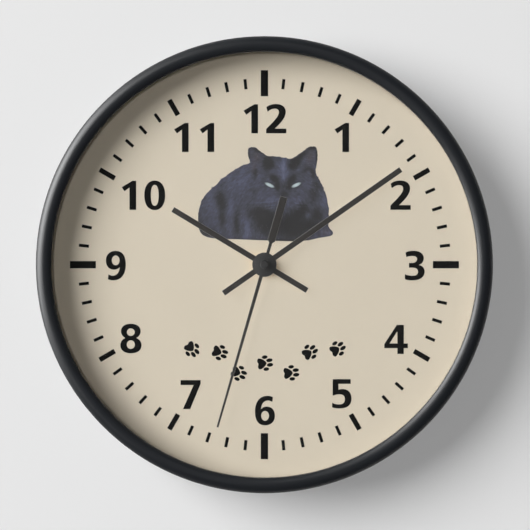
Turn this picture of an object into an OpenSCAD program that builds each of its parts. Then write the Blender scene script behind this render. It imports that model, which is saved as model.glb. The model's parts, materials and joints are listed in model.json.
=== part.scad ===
// Round quartz wall clock: a painted wooden ring with a flat clear lens, a printed dial with a
// resting cat, three hands, and a battery movement that hangs the clock by a keyhole bracket.
//
// The parts are drawn in clock coordinates, in millimetres: X to the right, Y up, and Z out of
// the wall towards the viewer, with the shaft on the Z axis and the wall at Z = 0. place()
// stands the clock up, so that its front faces -Y, with the origin at the keyhole on the wall.

/* [Ring and lens] */
// Outer diameter of the wooden ring
ring_d = 254; // [250:1:300]
// Depth of the ring, from the wall to its front
ring_depth = 44; // [42:1:60]
// Width of the ring's front lip
lip_w = 8.6; // [8.2:0.1:12]
// Depth of the lip in front of the lens
lip_depth = 5; // [4.8:0.1:8]
// Radius of the lip's outer edge
outer_round = 4.5; // [2:0.1:4.6]
// Radius of the lip's inner edge
inner_round = 3.4; // [1:0.1:3.4]
// Thickness of the lens
lens_t = 2; // [1:0.5:3]

/* [Dial] */
// Space between the dial and the lens
hand_space = 12.5; // [9:0.5:14]
// Thickness of the dial
dial_t = 0.8; // [0.5:0.1:1.5]
// Thickness of the printed ink
ink_t = 0.06; // [0.04:0.01:0.1]
// Height of the numerals
numeral_h = 16.3; // [12:0.1:17]
// Radius of the circle that the hour and minute marks are centred on
mark_r = 102; // [100:0.5:104]
// Width of the twelve hour marks
hour_mark_w = 2.85; // [2:0.05:4]
// Length of the twelve hour marks
hour_mark_len = 9.8; // [7:0.1:12]
// Width of the minute marks
minute_mark_w = 1.75; // [1:0.05:2.5]
// Length of the minute marks
minute_mark_len = 5.7; // [4:0.1:8]

/* [Hands] */
// Angle of the hour hand at rest, clockwise from twelve
hour_angle = 301.1; // [0:0.1:360]
// Angle of the minute hand at rest, clockwise from twelve
minute_angle = 55.1; // [0:0.1:360]
// Angle of the second hand at rest, clockwise from twelve
second_angle = 196.1; // [0:0.1:360]
// Length of the hour hand from the shaft to its tip
hour_len = 60; // [40:1:70]
// Length of the minute hand from the shaft to its tip
minute_len = 93.2; // [70:0.1:105]
// Length of the second hand from the shaft to its tip
second_len = 94.7; // [70:0.1:105]
// Length of the hour and minute hands' tails
tail_len = 28; // [15:1:35]
// Width of the hour hand
hour_w = 3.2; // [2:0.1:4]
// Width of the minute hand
minute_w = 3.2; // [2:0.1:4]
// Diameter of the cap over the shaft
cap_d = 13.6; // [13:0.1:16]
// Diameter of the round knob in the middle of the cap
cap_knob_d = 4.8; // [4:0.1:6]

/* [Movement] */
// Side of the square movement case
case_size = 56; // [56:0.5:60]
// Height of the keyhole above the shaft
hook_rise = 40; // [40:1:50]
// Radius of the keyhole's round end
keyhole_r = 4.25; // [3.5:0.05:5]
// Width of the keyhole's slot
slot_w = 4.4; // [3:0.1:5]

/* [Hidden] */
$fn = 96;
eps = 0.5;
gap = 0.02;
running = 0.06;

// Radii of the ring
ring_r = ring_d / 2;
lip_r = ring_r - lip_w;
rebate_r = lip_r + 3.1;
plate_r = rebate_r - 0.3;
spacer_set = 1.8;

// Stack behind the lip, measured from the wall
lens_front = ring_depth - lip_depth;
lens_back = lens_front - lens_t;
dial_front = lens_back - hand_space;
dial_back = dial_front - dial_t;
board_t = 3;
board_back = dial_back - board_t;
bracket_t = 1;
gasket_t = 0.7;
case_front = board_back - bracket_t - gasket_t;
face = dial_front - case_front;

// Clips that hold the backing board in the ring
clip_count = 6;
clip_w = 12;
clip_t = 1;
clip_foot = 12;
clip_leg = 12;
clip_screw_drop = 7;
clip_screw_r = 1.45;

// Hanging bracket
tab_t = 1.2;
tab_w = 18;
slot_rise = 9;
leg_y = 29;

// Shaft nest, from the inside out
seconds_r = 0.55;
minute_bore = seconds_r + 0.07;
minute_r = 1.6;
hour_bore = minute_r + running;
hour_r = 2.5;
bush_bore = hour_r + running;
bush_r = 4;
bush_flange_r = 6;

// Heights above the dial
washer_t = 0.5;
nut_top = 3;
bush_top = 3.2;
hour_hand_z = [3.8, 4.3];
minute_hand_z = [5.2, 5.7];
second_hand_z = [6.9, 7.2];
cap_h = 0.9;
cap_knob_h = 3.4;

// Layers behind the front of the case: [rear face, front face]
wall = 1.2;
hour_layer = [-2.5, -1.5];
minute_layer = [-4.3, -3.3];
centre_layer = [-6.1, -5.3];
plate_layer = [-7.1, -6.3];
third_layer = [-8.3, -7.3];
stator_layer = [-9.7, -8.9];
seconds_layer = [-10.3, -9.5];
fifth_layer = [-12.1, -11.3];
board_layer = [-11.5, -10.5];
bridge_layer = [-14, -13];
cover_layer = [-16, -14.8];

// Inside of the case and its battery bay
half = case_size / 2;
room = half - wall;
bay_top = -11.4;
partition_t = 1;
train_floor = bay_top + partition_t;
notch = [0.7, 1.7, 5.5];

// Places of the wheels: centre distance times the direction from the wheel they mesh with
function polar(r, a) = [r * cos(a), r * sin(a)];
third_turn = 150;
fifth_turn = 88;
rotor_turn = 100;
knob_turn = 60;
third_at = polar(10.2, third_turn);
fifth_at = polar(9.72, fifth_turn);
rotor_at = fifth_at + polar(7, rotor_turn);
motion_at = [10, 0];
knob_at = motion_at + polar(10, knob_turn);
pillar_places = [[-20, -5], [19, -5], [18, 16]];

// Gears: each pair's module, and its number of teeth
rotor_teeth = 10;
fifth_teeth = 60;
fifth_pinion_teeth = 12;
seconds_teeth = 60;
seconds_pinion_teeth = 8;
third_teeth = 60;
third_pinion_teeth = 8;
centre_teeth = 64;
minute_pinion_teeth = 12;
motion_teeth = 36;
motion_pinion_teeth = 10;
hour_teeth = 40;
knob_teeth = 12;
rotor_mod = 7 * 2 / (rotor_teeth + fifth_teeth);
fifth_mod = 9.72 * 2 / (fifth_pinion_teeth + seconds_teeth);
third_mod = 10.2 * 2 / (seconds_pinion_teeth + third_teeth);
centre_mod = 10.2 * 2 / (third_pinion_teeth + centre_teeth);
minute_mod = 10 * 2 / (minute_pinion_teeth + motion_teeth);
hour_mod = 10 * 2 / (motion_pinion_teeth + hour_teeth);

// Tooth form: addendum and dedendum in modules, root and tip widths in pitches
wheel_form = [0.8, 1.1, 0.56, 0.2];
pinion_form = [0.7, 1.2, 0.5, 0.2];

// Arbors and pillars
pivot_r = 0.4;
pivot_hole = 0.46;
arbor_r = 0.5;
arbor_hole = 0.56;
stud_r = 0.9;
pillar_r = 1.8;
screw_r = 0.8;
knob_shaft_r = 1.4;
knob_pivot_r = 0.8;

// Coil, on a line above the rotor
coil_at = [0, 23.3, -7.9];
coil_len = 18.8;
flange_r = 3.2;
flange_t = 0.8;
winding_r = 2.8;
tube_r = 1.85;
core_side = 2;
core_len = 28;
coil_screw_x = 11.9;

// Circuit board
board_low = [-26.3, 9];
board_high = [-15.6, 25];
peg_places = [[-24.3, 22.6], [-24.3, 11.4]];

// AA cell, lying in the bay
cell_r = 7.15;
cell_len = 50.5;
nub_r = 2.75;
nub_len = 1;
cell_at = [0, -19.1, -8.45];
contact_t = 0.4;
contact_x = room - 0.05;
contact_w = 8;
lead_z = [-12.2, -10.5];

// ---------------------------------------------------------------- helpers

module place() {
    translate([0, 0, -hook_rise]) rotate([90, 0, 0]) children();
}

// Extrudes a flat shape between two heights
module slab(layer) {
    translate([0, 0, layer[0]]) linear_extrude(layer[1] - layer[0]) children();
}

// Moves to the front of the movement case
module at_case() {
    place() translate([0, 0, case_front]) children();
}

// Moves to the front of the dial
module at_dial() {
    place() translate([0, 0, dial_front]) children();
}

module disc_ring(outer, inner, layer) {
    slab(layer) difference() {
        circle(outer);
        circle(inner);
    }
}

module rounded_square(side, r) {
    square([side, side - 2 * r], center = true);
    square([side - 2 * r, side], center = true);
    for (x = [-1, 1], y = [-1, 1]) {
        translate([x, y] * (side / 2 - r)) circle(r);
    }
}

// Points of a closed smooth curve through the given points
function bend(a, b, c, d, t) = 0.5 * (2 * b + (c - a) * t + (2 * a - 5 * b + 4 * c - d) * t * t
    + (3 * b - a - 3 * c + d) * t * t * t);
function smooth(p, steps) = let (n = len(p)) [
    for (i = [0 : n - 1], s = [0 : steps - 1])
        bend(p[(i + n - 1) % n], p[i], p[(i + 1) % n], p[(i + 2) % n], s / steps)
];

// Points of an outline that starts at a point and goes on by corners and cubic curves: a
// corner is [x, y], and a curve is [first handle, second handle, end]
function cubic(a, b, c, d, t) = a * pow(1 - t, 3) + b * 3 * t * pow(1 - t, 2)
    + c * 3 * t * t * (1 - t) + d * pow(t, 3);
function end_of(step) = is_num(step[0]) ? step : step[2];
function outline(p, steps) = [
    for (i = [0 : len(p) - 1])
        if (is_num(p[i][0])) p[i]
        else for (s = [1 : steps]) cubic(end_of(p[i - 1]), p[i][0], p[i][1], p[i][2], s / steps)
];

// Points of an oval; squareness under 1 fills out its corners
function bulge(v, k) = sign(v) * pow(abs(v), k);
function oval(at, rx, ry, k = 1, n = 32) = [
    for (i = [0 : n - 1])
        at + [rx * bulge(cos(360 * i / n), k), ry * bulge(sin(360 * i / n), k)]
];

// Points of a gear with straight-sided teeth; the first tooth points along X, turned by phase
function gear_points(teeth, mod, form, phase) = let (
    pitch_r = teeth * mod / 2,
    tip_r = pitch_r + form[0] * mod,
    root_r = pitch_r - form[1] * mod,
    pitch = 360 / teeth
) [
    for (k = [0 : teeth - 1])
        for (c = [[root_r, -form[2]], [tip_r, -form[3]], [tip_r, form[3]], [root_r, form[2]]])
            polar(c[0], phase + (k + c[1] / 2) * pitch)
];

// Phase that puts gear B in mesh with gear A, which lies at the angle towards from B's partner
function mesh_phase(teeth_a, phase_a, teeth_b, towards) =
    towards + 180 - 360 / teeth_b * (0.5 - (towards - phase_a) * teeth_a / 360);

fifth_pinion_phase = mesh_phase(seconds_teeth, 0, fifth_pinion_teeth, fifth_turn);
rotor_phase = mesh_phase(fifth_teeth, 0, rotor_teeth, rotor_turn);
third_phase = mesh_phase(seconds_pinion_teeth, 0, third_teeth, third_turn);
centre_phase = mesh_phase(third_pinion_teeth, 0, centre_teeth, third_turn + 180);
motion_phase = mesh_phase(minute_pinion_teeth, 0, motion_teeth, 0);
hour_phase = mesh_phase(motion_pinion_teeth, 0, hour_teeth, 180);
knob_phase = mesh_phase(motion_teeth, motion_phase, knob_teeth, knob_turn);

module wheel(teeth, mod, phase, layer) {
    slab(layer) polygon(gear_points(teeth, mod, wheel_form, phase));
}

module pinion(teeth, mod, phase, layer) {
    slab(layer) polygon(gear_points(teeth, mod, pinion_form, phase));
}

module rod(r, layer) {
    slab(layer) circle(r, $fn = 32);
}

// Turns a shape drawn along +Y to an angle clockwise from twelve
module clock_turn(angle) {
    rotate([0, 0, -angle]) children();
}

// ---------------------------------------------------------------- ring, lens and boards

module frame_ring() {
    color("#1d1e20") place() difference() {
        rotate_extrude($fn = 180) ring_profile();
        for (i = [0 : clip_count - 1]) {
            clock_turn(i * 360 / clip_count + 30) clip_bore(clip_screw_r + gap, ring_r - 1.8);
        }
    }
}

module ring_profile() {
    difference() {
        union() {
            translate([lip_r, 0]) square([lip_w, ring_depth - outer_round]);
            translate([lip_r, 0]) square([lip_w - outer_round, ring_depth - inner_round]);
            translate([lip_r + inner_round, 0])
                square([lip_w - outer_round - inner_round, ring_depth]);
            translate([ring_r - outer_round, ring_depth - outer_round]) circle(outer_round);
            translate([lip_r + inner_round, ring_depth - inner_round]) circle(inner_round);
        }
        translate([0, -eps]) square([rebate_r, lens_front + eps]);
    }
}

module lens() {
    color([0.85, 0.9, 0.92, 0.3]) place() slab([lens_back, lens_front]) circle(plate_r);
}

module spacer_ring() {
    color("#7d776d") place() disc_ring(plate_r, lip_r + spacer_set, [dial_front, lens_back]);
}

module dial() {
    color("#d3c9b5") place() disc_ring(plate_r, bush_r + 0.2, [dial_back, dial_front]);
}

module backing_board() {
    color("#8a6a48") place() disc_ring(plate_r, bush_r + 0.2, [board_back, dial_back]);
}

// A radial hole or shank at a clip, reaching out to a radius
module clip_bore(r, reach) {
    translate([0, plate_r - clip_t - 0.2, board_back - clip_screw_drop])
        rotate([-90, 0, 0]) cylinder(r = r, h = reach - plate_r + clip_t + 0.2, $fn = 32);
}

module retaining_clips() {
    color("#b9bcc0") place() for (i = [0 : clip_count - 1]) {
        clock_turn(i * 360 / clip_count + 30) difference() {
            translate([-clip_w / 2, 0, board_back]) union() {
                translate([0, plate_r - clip_t, -clip_leg]) cube([clip_w, clip_t, clip_leg]);
                translate([0, plate_r - clip_foot, -clip_t]) cube([clip_w, clip_foot, clip_t]);
            }
            clip_bore(clip_screw_r + 0.15, ring_r);
        }
    }
}

module clip_screws() {
    color("#c9ccd0") place() for (i = [0 : clip_count - 1]) {
        clock_turn(i * 360 / clip_count + 30) {
            clip_bore(clip_screw_r, ring_r - 2);
            translate([0, plate_r - clip_t, board_back - clip_screw_drop])
                rotate([90, 0, 0]) screw_head(3, 1.6, 0.7);
        }
    }
}

// A pan head with a straight slot; its underside is at Z = 0
module screw_head(r, h, slot) {
    difference() {
        cylinder(r = r, h = h, $fn = 32);
        translate([-r - eps, -slot / 2, h / 2]) cube([2 * r + 2 * eps, slot, h]);
    }
}

// ---------------------------------------------------------------- printing on the dial

// Outlines of the numerals, 100 units high, each with its holes and its width
function one() = [[27, 0], [27, 77], [10, 64], [0, 78], [37, 100], [50, 100], [50, 0]];
function two() = [
    [0, 0], [70, 0], [70, 16], [30, 16],
    [[50, 35], [68, 54], [68, 74]], [[68, 92], [53, 101], [35, 101]],
    [[20, 101], [9, 97], [1, 90]], [5, 74], [[13, 81], [21, 85], [30, 85]],
    [[39, 85], [44, 81], [44, 73]], [[44, 62], [37, 54], [23, 38]], [0, 15]
];
function three() = [
    [2, 95], [5, 79], [[11, 82], [18, 83], [26, 83]], [[36, 83], [42, 80], [42, 73]],
    [[42, 64], [36, 60], [26, 59]], [14, 59], [14, 43], [27, 43],
    [[40, 42], [45, 38], [45, 29]], [[45, 18], [38, 15], [26, 15]],
    [[16, 15], [7, 17], [0, 20]], [0, 3], [[7, 0], [16, -1], [26, -1]],
    [[51, -1], [68, 9], [68, 29]], [[68, 42], [60, 50], [48, 52]],
    [[59, 56], [65, 64], [65, 76]], [[65, 92], [51, 101], [31, 101]],
    [[18, 101], [9, 99], [2, 95]]
];
function four() = [
    [45, 0], [67, 0], [67, 20], [81, 20], [81, 36], [67, 36], [67, 100], [43, 100], [0, 34],
    [0, 20], [45, 20]
];
function five() = [
    [2, 100], [64, 100], [64, 84], [22, 84], [22, 64], [[27, 65], [32, 66], [38, 66]],
    [[57, 65], [67, 53], [67, 33]], [[67, 10], [52, -1], [26, -1]],
    [[17, -1], [7, 0], [0, 3]], [0, 19], [[7, 15], [15, 13], [24, 13]],
    [[38, 13], [44, 19], [44, 31]], [[44, 42], [38, 48], [26, 48]],
    [[17, 48], [9, 46], [2, 43]]
];
function six() = [
    [62, 97], [[56, 99], [50, 101], [42, 101]], [[15, 101], [0, 79], [0, 47]],
    [[0, 16], [11, -1], [35, -1]], [[55, -1], [69, 12], [69, 32]],
    [[69, 52], [58, 64], [41, 64]], [[33, 64], [26, 61], [21, 55]],
    [[22, 73], [30, 84], [45, 85]], [[50, 85], [55, 83], [60, 80]]
];
function seven() = [[0, 100], [69, 100], [69, 87], [33, 0], [8, 0], [45, 83], [0, 83]];
function eight() = [
    [36, 101], [[57, 101], [70, 91], [70, 76]], [[70, 65], [64, 56], [55, 52]],
    [[67, 47], [73, 38], [73, 27]], [[73, 9], [59, -1], [36, -1]],
    [[14, -1], [0, 9], [0, 27]], [[0, 38], [6, 47], [17, 52]],
    [[8, 56], [2, 65], [2, 76]], [[2, 91], [15, 101], [36, 101]]
];
digit_w = [72, 50, 70, 68, 81, 67, 69, 69, 73, 69];

module digit(n) {
    if (n == 0) digit_with_holes(oval([36, 50], 36, 51, 0.9), [oval([36, 50], 13.5, 36, 0.85)]);
    if (n == 1) polygon(one());
    if (n == 2) polygon(outline(two(), 6));
    if (n == 3) polygon(outline(three(), 6));
    if (n == 4) digit_with_holes(four(), [[[18, 36], [45, 36], [45, 77], [43, 76]]]);
    if (n == 5) polygon(outline(five(), 6));
    if (n == 6) digit_with_holes(outline(six(), 6), [oval([35, 32], 13.5, 17, n = 24)]);
    if (n == 7) polygon(seven());
    if (n == 8) {
        digit_with_holes(outline(eight(), 6),
            [oval([36, 72], 13.5, 13, n = 24), oval([36, 29], 14, 15, n = 24)]);
    }
    if (n == 9) translate([digit_w[6], 100]) rotate(180) digit(6);
}

module digit_with_holes(points, holes) {
    difference() {
        polygon(points);
        for (h = holes) polygon(h);
    }
}

// One or two digits, centred on the origin
module numeral(n) {
    tens = floor(n / 10);
    units = n % 10;
    space = units == 1 ? 38 : 28;
    lead = tens > 0 ? digit_w[1] + space : 0;
    scale(numeral_h / 100) translate([-(lead + digit_w[units]) / 2, -50]) {
        if (tens > 0) digit(1);
        translate([lead, 0]) digit(units);
    }
}

// Centres of the numerals, from one to twelve
numeral_places = [
    [43.5, 71.5], [76.5, 39], [84.5, -0.5], [74, -42], [43.5, -72.5], [0.3, -82],
    [-41.5, -73], [-75, -41.5], [-83.5, -0.5], [-68, 39], [-39.5, 71.5], [0.3, 82]
];

module hour_numerals() {
    color("#1c1c1c") at_dial() slab([0, ink_t]) for (n = [1 : 12]) {
        translate(numeral_places[n - 1]) numeral(n);
    }
}

// The quarter hours have long wide marks, the other hours medium ones, the minutes short ones
module minute_marks() {
    color("#1c1c1c") at_dial() slab([0, ink_t]) for (i = [0 : 59]) {
        size = i % 15 == 0 ? [4.1, 14.6] : i % 5 == 0 ? [hour_mark_w, hour_mark_len]
            : [minute_mark_w, minute_mark_len];
        clock_turn(i * 6) translate([0, mark_r]) square(size, center = true);
    }
}

// Outline of the lying cat, from the left ear round by the head, the right paw and the back
cat_outline = [
    [-8, 58], [-9.3, 62.2], [-8.4, 65.7], [-5.2, 65.8], [-1.8, 63.3], [1.6, 61.2], [5, 60.8],
    [12, 60.1], [15, 59.4], [18.4, 61.5], [21.8, 63.8], [25, 66], [28.4, 66.3], [29.8, 63.5],
    [29.5, 58], [28.8, 52],
    [31, 47.5], [34, 40.5], [36, 32.5], [36, 25], [36.2, 21], [38.4, 18.5], [37.5, 16.3],
    [30.5, 15], [24.5, 13.7], [16, 13.2], [7.5, 13.4], [-12.5, 14.2], [-21, 14.5], [-30, 15],
    [-35, 17], [-36.8, 21], [-37, 29], [-35.6, 35], [-32.7, 39.7], [-28.8, 43.2],
    [-24.2, 47.8], [-18.7, 51.8], [-12.7, 55.8], [-9.5, 56.6]
];

module cat_print() {
    color("#3d3d49") at_dial() slab([0, ink_t]) polygon(smooth(cat_outline, 4));
}

// A trail of paw prints on an arc under the shaft, left and right feet in turn
paw_count = 7;
paw_arc_r = 59;
paw_step = 13.6;
paw_swing = 3.6;

module paw_prints() {
    color("#1c1c1c") at_dial() slab([0, ink_t]) for (i = [0 : paw_count - 1]) {
        side = i % 2 == 0 ? 1 : -1;
        clock_turn(180 + (i - (paw_count - 1) / 2) * paw_step)
            translate([0, paw_arc_r + side * paw_swing]) rotate(90 - side * 8) paw();
    }
}

module paw() {
    polygon(smooth([[0, 1.2], [2.2, -0.6], [3.1, -3], [1.6, -3.9], [0, -3.4], [-1.6, -3.9],
        [-3.1, -3], [-2.2, -0.6]], 5));
    for (toe = [[-3.4, 0.6, 1, 1.6], [-1.3, 3, 1.05, 1.8], [1.3, 3, 1.05, 1.8],
        [3.4, 0.6, 1, 1.6]]) {
        polygon(oval([toe[0], toe[1]], toe[2], toe[3], n = 20));
    }
}

// ---------------------------------------------------------------- hanging and fixing

module hanger_bracket() {
    tab_low = leg_y + bracket_t;
    color("#c3c6ca") place() {
        slab([board_back - bracket_t, board_back]) difference() {
            union() {
                translate([-14, -14]) square([28, 28]);
                translate([-tab_w / 2, 0]) square([tab_w, tab_low]);
            }
            circle(bush_r + 0.05);
        }
        translate([-tab_w / 2, leg_y, 0]) cube([tab_w, bracket_t, board_back]);
        slab([0, tab_t]) difference() {
            union() {
                translate([-tab_w / 2, leg_y]) square([tab_w, hook_rise + 6 - leg_y]);
                translate([0, hook_rise + 6]) circle(tab_w / 2);
            }
            translate([0, hook_rise]) circle(keyhole_r);
            translate([-slot_w / 2, hook_rise]) square([slot_w, slot_rise]);
            translate([0, hook_rise + slot_rise]) circle(slot_w / 2);
        }
    }
}

module rubber_gasket() {
    color("#26272a") place() slab([case_front, case_front + gasket_t]) difference() {
        rounded_square(50, 4);
        circle(bush_r + 0.2);
    }
}

module threaded_bush() {
    color("#c9a44c") at_case() {
        disc_ring(bush_flange_r, bush_bore, [-wall, 0]);
        disc_ring(bush_r, bush_bore, [0, face + bush_top]);
    }
}

module brass_washer() {
    color("#c9a44c") at_dial() disc_ring(6.2, bush_r + gap, [0, washer_t]);
}

module hex_nut() {
    color("#c9a44c") at_dial() slab([washer_t, nut_top]) difference() {
        circle(6.3, $fn = 6);
        circle(bush_r + gap);
    }
}

// ---------------------------------------------------------------- movement housing

module movement_case() {
    color("#222326") at_case() difference() {
        union() {
            case_shell();
            case_bosses();
        }
        translate([0, 0, -wall - eps]) cylinder(r = bush_flange_r + gap, h = wall + 2 * eps);
        case_bores();
    }
}

module case_shell() {
    rear = cover_layer[1];
    difference() {
        union() {
            slab([rear, 0]) rounded_square(case_size, 3);
            slab([cover_layer[0], 0]) intersection() {
                rounded_square(case_size, 3);
                translate([-half, -half]) square([case_size, half + bay_top]);
            }
        }
        translate([-room, train_floor, rear - eps])
            cube([2 * room, room - train_floor, -rear - wall + eps]);
        translate([-room, -room, cover_layer[0] - eps])
            cube([2 * room, room + bay_top, -cover_layer[0] - wall + eps]);
        for (x = [-room, room - notch[0]]) {
            translate([x, bay_top - 0.3, rear - eps]) cube(notch);
        }
    }
}

// Posts on the inside of the case's front wall
module case_bosses() {
    for (p = pillar_places) translate(p) rod(pillar_r, [plate_layer[1], -wall]);
    for (p = peg_places) translate(p) {
        rod(1.5, [board_layer[1], -wall]);
        rod(0.6, [board_layer[0] - 0.4, board_layer[1]]);
    }
    translate(third_at) rod(1.4, [centre_layer[1] + 0.4, -wall]);
    translate(motion_at) rod(stud_r, [minute_layer[0] - 0.3, -wall]);
    translate(knob_at) rod(2, [minute_layer[1] + 0.4, -wall]);
}

module case_bores() {
    for (p = pillar_places) translate(p) rod(screw_r + gap, [plate_layer[1] - eps, -2]);
    translate(third_at) rod(arbor_hole, [centre_layer[1], -3.1]);
    translate(knob_at) rod(knob_pivot_r + running, [minute_layer[1], -1.4]);
}

module movement_cover() {
    color("#1e1f22") at_case() {
        slab(cover_layer) difference() {
            intersection() {
                rounded_square(case_size, 3);
                translate([-half, bay_top]) square([case_size, half - bay_top]);
            }
            translate(knob_at) circle(knob_shaft_r + running, $fn = 32);
        }
        for (x = [-room + 0.1, room - 0.9]) {
            translate([x, 0, cover_layer[1]]) cube([0.8, 4, 2.5]);
        }
        for (x = [-22, 18]) {
            translate([x, room - 0.9, cover_layer[1]]) cube([4, 0.8, 2.5]);
        }
    }
}

// Plate between the seconds train and the hands' train, with three pillars towards the rear
module middle_plate() {
    color("#d8d9d6") at_case() {
        slab(plate_layer) difference() {
            polygon([[-23, -9], [23, -9], [23, 19.5], [-6, 19.5], [-23, 8]]);
            circle(seconds_r + 0.07, $fn = 32);
            translate(fifth_at) circle(pivot_hole, $fn = 32);
            translate(rotor_at) circle(pivot_hole, $fn = 32);
            translate(third_at) circle(1.6, $fn = 32);
            translate(knob_at) circle(knob_shaft_r + running, $fn = 32);
            for (p = pillar_places) translate(p) circle(screw_r + 0.1, $fn = 32);
        }
        for (p = pillar_places) translate(p) {
            disc_ring(pillar_r, screw_r + 0.1, [bridge_layer[1], plate_layer[0]], $fn = 32);
        }
    }
}

module train_bridge() {
    color("#e2e2de") at_case() slab(bridge_layer) difference() {
        polygon([[-23, -8], [22, -8], [22, 19.5], [-4, 19.5], [-23, 0]]);
        circle(seconds_r + running, $fn = 32);
        translate(fifth_at) circle(pivot_hole, $fn = 32);
        translate(rotor_at) circle(pivot_hole, $fn = 32);
        translate(third_at) circle(arbor_hole, $fn = 32);
        translate(knob_at) circle(knob_shaft_r + running, $fn = 32);
        for (p = pillar_places) translate(p) circle(screw_r + 0.1, $fn = 32);
    }
}

module bridge_screws() {
    color("#c9ccd0") at_case() for (p = pillar_places) translate(p) {
        rod(screw_r, [bridge_layer[0], -2.6]);
        translate([0, 0, bridge_layer[0]]) rotate([180, 0, 0]) screw_head(1.5, 0.7, 0.4);
    }
}

// ---------------------------------------------------------------- electrics

module circuit_board() {
    color("#2f6b3c") at_case() slab(board_layer) difference() {
        translate(board_low) square(board_high - board_low);
        for (p = peg_places) translate(p) circle(0.65, $fn = 32);
    }
}

module quartz_crystal() {
    color("#d9dbde") at_case()
        translate([-22.5, 11.5, board_layer[0] - 1.5]) rotate([-90, 0, 0])
            cylinder(r = 1.5, h = 7, $fn = 32);
}

module driver_chip() {
    color("#151515") at_case() translate([-18.6, 17, board_layer[0]]) intersection() {
        translate([0, 0, 0.6]) sphere(r = 2.4, $fn = 48);
        translate([-3, -3, -3]) cube([6, 6, 3]);
    }
}

// Draws along the coil's own axis, which lies along X
module along_coil() {
    at_case() translate(coil_at) rotate([0, 90, 0]) children();
}

module coil_bobbin() {
    end = coil_len / 2;
    color("#ece9df") along_coil() difference() {
        union() {
            rod(tube_r, [-end, end]);
            rod(flange_r, [-end, -end + flange_t]);
            rod(flange_r, [end - flange_t, end]);
        }
        cube([core_side + 0.1, core_side + 0.1, coil_len + 1], center = true);
    }
}

module coil_winding() {
    end = coil_len / 2 - flange_t;
    color("#b5652f") along_coil() disc_ring(winding_r, tube_r, [-end, end]);
}

module coil_core() {
    color("#8f9296") at_case() translate(coil_at) difference() {
        cube([core_len, core_side, core_side], center = true);
        for (x = [-1, 1]) translate([x * coil_screw_x, 0, 0]) rod(0.7, [-core_side, core_side]);
    }
}

module coil_screws() {
    color("#c9ccd0") at_case() for (x = [-1, 1]) {
        translate([x * coil_screw_x, coil_at[1], 0]) {
            rod(0.68, [stator_layer[0], coil_at[2] + core_side / 2]);
            translate([0, 0, coil_at[2] + core_side / 2]) screw_head(1.3, 0.6, 0.35);
        }
    }
}

module stator_plate() {
    color("#9a9da1") at_case() slab(stator_layer) difference() {
        union() {
            translate([-14, 12.6]) square([28, 7.3]);
            for (x = [-14, 9.8]) translate([x, 12.6]) square([4.2, 13.4]);
        }
        translate(rotor_at) circle(2.7, $fn = 48);
        for (x = [-1, 1]) translate([x * coil_screw_x, coil_at[1]]) circle(0.7, $fn = 32);
    }
}

// A contact plate at an end of the battery bay, drawn at the left-hand end
module contact_plate() {
    translate([-contact_x, cell_at[1] - contact_w / 2, cell_at[2] - contact_w / 2])
        cube([contact_t, contact_w, contact_w]);
    translate([-contact_x, cell_at[1], cell_at[2]]) rotate([0, 90, 0])
        cylinder(r = 2.2, h = contact_x - cell_len / 2 - 0.05, $fn = 32);
    translate([-contact_x, cell_at[1], lead_z[0]])
        cube([contact_t, train_floor - cell_at[1] + contact_t, lead_z[1] - lead_z[0]]);
}

module positive_contact() {
    color("#d0b878") at_case() {
        contact_plate();
        translate([-contact_x, train_floor, lead_z[0]])
            cube([contact_t, 22, lead_z[1] - lead_z[0]]);
    }
}

// The negative contact's strip runs under the train to the circuit board
module negative_contact() {
    strip_left = -25.8;
    color("#d0b878") at_case() {
        mirror([1, 0, 0]) contact_plate();
        translate([strip_left, train_floor + 0.05, lead_z[0]])
            cube([contact_x - strip_left, contact_t, lead_z[1] - lead_z[0]]);
        translate([strip_left, train_floor + 0.05, lead_z[0]])
            cube([contact_t, board_low[1] - train_floor - 0.05, lead_z[1] - lead_z[0]]);
    }
}

module battery_can() {
    color("#2b3a55") at_case() translate(cell_at + [-cell_len / 2 + nub_len, 0, 0])
        rotate([0, 90, 0]) cylinder(r = cell_r, h = cell_len - nub_len - 0.2);
}

module battery_terminals() {
    color("#d5d6d8") at_case() translate(cell_at - [cell_len / 2, 0, 0]) rotate([0, 90, 0]) {
        cylinder(r = nub_r, h = nub_len, $fn = 48);
        translate([0, 0, cell_len - 0.2]) cylinder(r = 5.5, h = 0.2, $fn = 48);
    }
}

// ---------------------------------------------------------------- wheels

module rotor_magnet() {
    color("#55585c") at_case() translate(rotor_at)
        disc_ring(2.3, pivot_r + 0.3, [-10.8, -8], $fn = 32);
}

module rotor_pinion() {
    color("#e8e4d6") at_case() translate(rotor_at) {
        rod(pivot_r, [bridge_layer[0], plate_layer[1]]);
        rod(pivot_r + 0.28, [fifth_layer[1], -8]);
        pinion(rotor_teeth, rotor_mod, rotor_phase, fifth_layer);
    }
}

module fifth_wheel() {
    color("#eeeae0") at_case() translate(fifth_at) {
        rod(pivot_r, [bridge_layer[0], plate_layer[1] - 0.05]);
        wheel(fifth_teeth, rotor_mod, 0, fifth_layer);
        rod(1.1, [fifth_layer[1], seconds_layer[0]]);
        pinion(fifth_pinion_teeth, fifth_mod, fifth_pinion_phase, seconds_layer);
    }
}

module seconds_wheel() {
    color("#e9e6dd") at_case() {
        rod(seconds_r, [bridge_layer[0], face + second_hand_z[1]]);
        wheel(seconds_teeth, fifth_mod, 0, seconds_layer);
        rod(0.8, [seconds_layer[1], third_layer[0]]);
        pinion(seconds_pinion_teeth, third_mod, 0, third_layer);
    }
}

module third_wheel() {
    color("#eeeae0") at_case() translate(third_at) {
        rod(arbor_r, [bridge_layer[0], -3.4]);
        wheel(third_teeth, third_mod, third_phase, third_layer);
        pinion(third_pinion_teeth, centre_mod, 0, centre_layer);
    }
}

module centre_wheel() {
    color("#e6d9b4") at_case() slab(centre_layer) difference() {
        polygon(gear_points(centre_teeth, centre_mod, wheel_form, centre_phase));
        circle(minute_r + running, $fn = 32);
    }
}

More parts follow.
